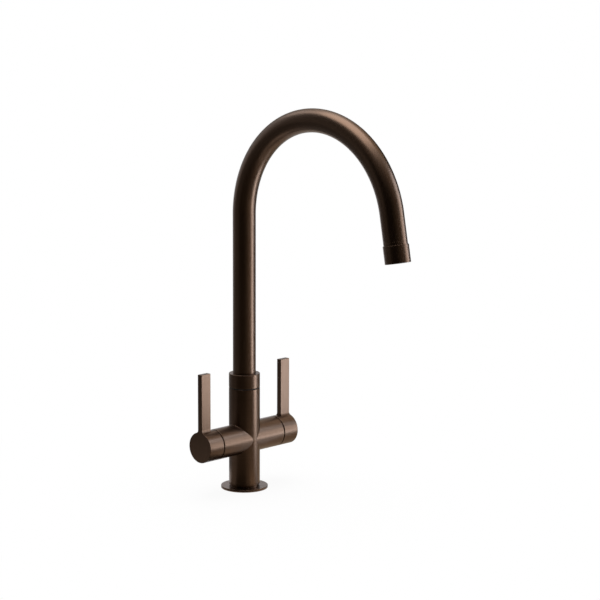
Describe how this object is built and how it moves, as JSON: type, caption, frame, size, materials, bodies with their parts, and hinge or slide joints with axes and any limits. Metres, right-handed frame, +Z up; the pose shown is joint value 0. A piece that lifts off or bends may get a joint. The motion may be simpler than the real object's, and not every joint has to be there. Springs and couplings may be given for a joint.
{
  "type": "two handle kitchen faucet",
  "caption": "Deck mounted kitchen faucet with a tall round swivel spout and an upright flat lever on the end of each horizontal valve arm, in dark brushed bronze.",
  "frame": {"origin": "on the barrel's axis, in the plane of the sink deck, which is the underside of the base flange", "axes": "+Z up along the barrel; -Y towards the user, the way the spout reaches at rest; +X along the valve arms towards the cold lever, so the hot lever is at -X"},
  "size_m": [0.13, 0.2533, 0.4111],
  "materials": {
    "bronze": "dark brushed bronze coating on brass",
    "raw_brass": "turned brass, uncoated",
    "ceramic": "lapped alumina ceramic",
    "rubber": "matt black rubber",
    "polymer": "moulded black acetal or nylon",
    "steel": "plain stainless steel"
  },
  "bodies": {
    "tap": {"base_flange": "bronze", "base_seal": "rubber", "inlet_block": "raw_brass", "tap_body": "bronze", "swivel_washer": "polymer", "spout_retaining_screw": "steel", "hot_valve_housing": "raw_brass", "hot_valve_housing_seal": "rubber", "hot_seat_seal": "rubber", "hot_fixed_disc": "ceramic", "hot_glide_ring": "polymer", "cold_valve_housing": "raw_brass", "cold_valve_housing_seal": "rubber", "cold_seat_seal": "rubber", "cold_fixed_disc": "ceramic", "cold_glide_ring": "polymer"},
    "hot_lever": {"hot_moving_disc": "ceramic", "hot_spindle": "raw_brass", "hot_spindle_seals": "rubber", "hot_spindle_circlip": "steel", "hot_spline_adapter": "raw_brass", "hot_lever_handle": "bronze", "hot_lever_screw": "steel"},
    "cold_lever": {"cold_moving_disc": "ceramic", "cold_spindle": "raw_brass", "cold_spindle_seals": "rubber", "cold_spindle_circlip": "steel", "cold_spline_adapter": "raw_brass", "cold_lever_handle": "bronze", "cold_lever_screw": "steel"},
    "spout": {"spout_tail": "raw_brass", "spout_seals": "rubber", "spout_collar": "bronze", "spout_tube": "bronze", "aerator_housing": "bronze", "aerator_washer": "rubber", "aerator_insert": "polymer", "aerator_regulator": "polymer"}
  },
  "joints": [
    {"name": "spout_swivel", "type": "hinge", "parent": "tap", "child": "spout", "pos_m": [0, 0, 0.1088], "axis": [0, 0, 1], "continuous": true},
    {"name": "hot_lever_turn", "type": "hinge", "parent": "tap", "child": "hot_lever", "pos_m": [-0.055, 0, 0.054], "axis": [1, 0, 0], "range_deg": [0, 90]},
    {"name": "cold_lever_turn", "type": "hinge", "parent": "tap", "child": "cold_lever", "pos_m": [0.055, 0, 0.054], "axis": [1, 0, 0], "range_deg": [0, 90]}
  ]
}
